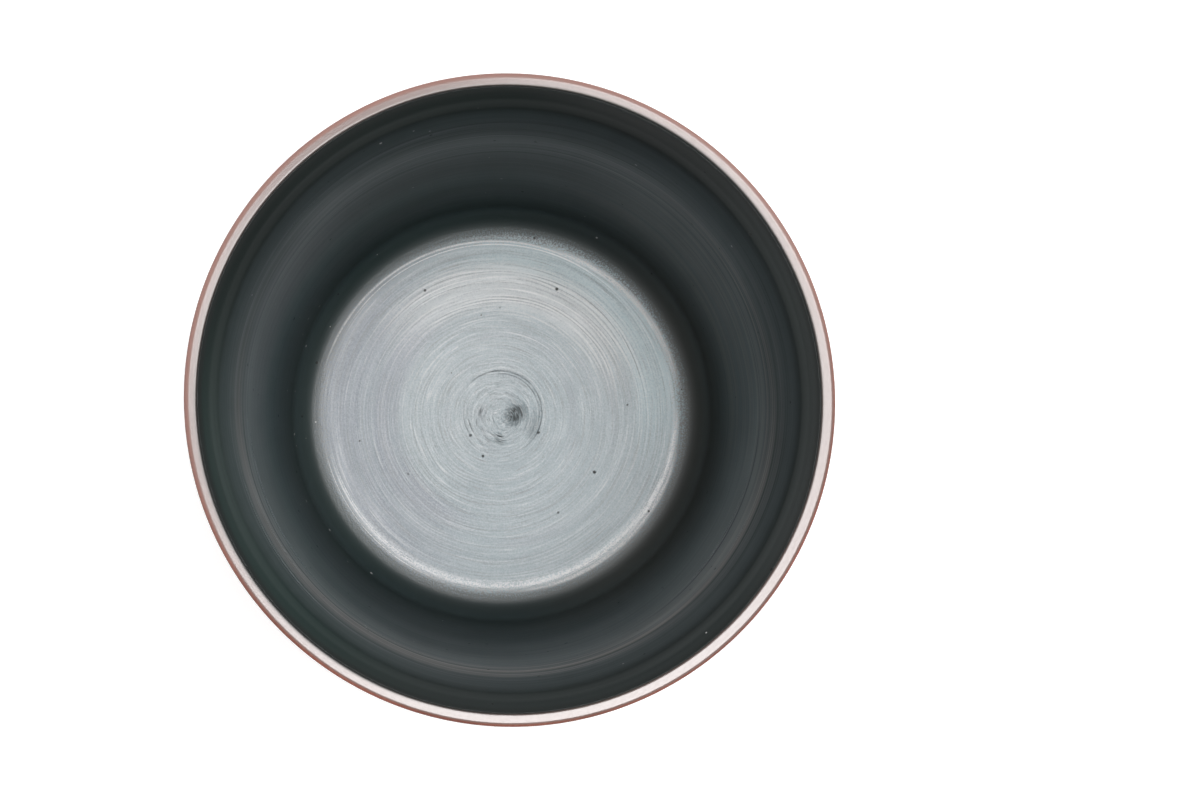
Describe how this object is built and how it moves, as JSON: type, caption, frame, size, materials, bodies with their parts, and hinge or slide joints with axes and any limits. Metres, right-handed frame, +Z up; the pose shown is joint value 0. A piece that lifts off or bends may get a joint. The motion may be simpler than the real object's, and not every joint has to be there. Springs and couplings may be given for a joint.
{
  "type": "teacup",
  "caption": "Round handleless tea cup with a rounded hip, a steep wall that flares to a flat lip, a dark slip lining and a raised foot ring.",
  "frame": {"origin": "middle of the foot ring, on the table", "axes": "+Z up along the axis that the cup was thrown on; +X is the picture's right"},
  "size_m": [0.08, 0.08, 0.085],
  "materials": {
    "red_clay": "burnished satin",
    "foot_clay": "bare fired clay",
    "dark_slip": "brushed satin slip"
  },
  "bodies": {
    "root": {"clay_body": "red_clay", "foot_ring": "foot_clay", "slip_lining": "dark_slip"}
  },
  "joints": []
}
